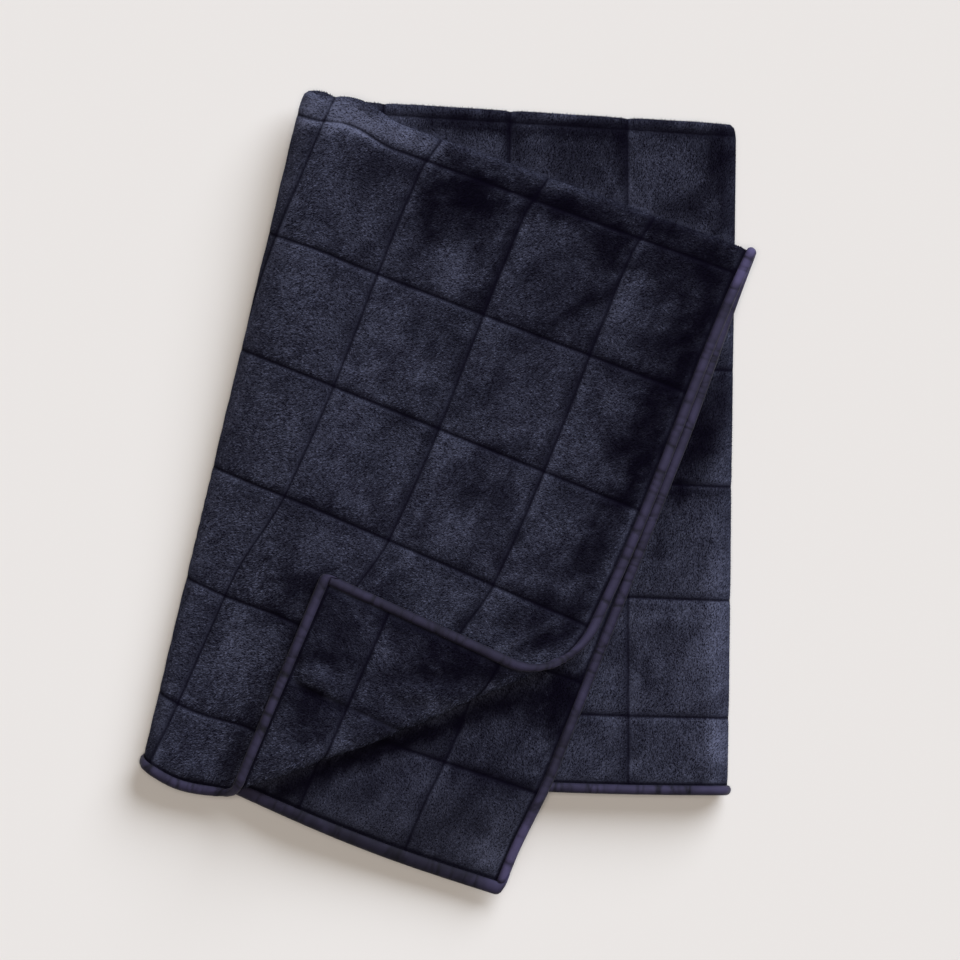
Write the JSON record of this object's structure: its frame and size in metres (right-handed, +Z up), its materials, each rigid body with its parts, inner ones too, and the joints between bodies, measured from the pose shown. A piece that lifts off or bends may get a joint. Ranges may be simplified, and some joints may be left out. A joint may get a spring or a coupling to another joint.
{
  "type": "folded quilted pet blanket",
  "caption": "Plush square-quilted pet blanket with woven bound edges, folded back and forth with a front corner turned back, lying flat.",
  "frame": {"origin": "middle of the folded blanket's footprint, on the surface it rests on", "axes": "+Z up, +Y along the folded length towards the top fold, +X towards the side fold of the back panel"},
  "size_m": [0.5418, 0.708, 0.0774],
  "materials": {
    "plush": "short-pile navy plush",
    "binding": "smooth woven purple-navy tape"
  },
  "bodies": {
    "root": {"quilted_blanket": "plush", "binding_side_front": "binding", "binding_side_inner": "binding", "binding_end_front": "binding", "binding_end_back": "binding"}
  },
  "joints": []
}
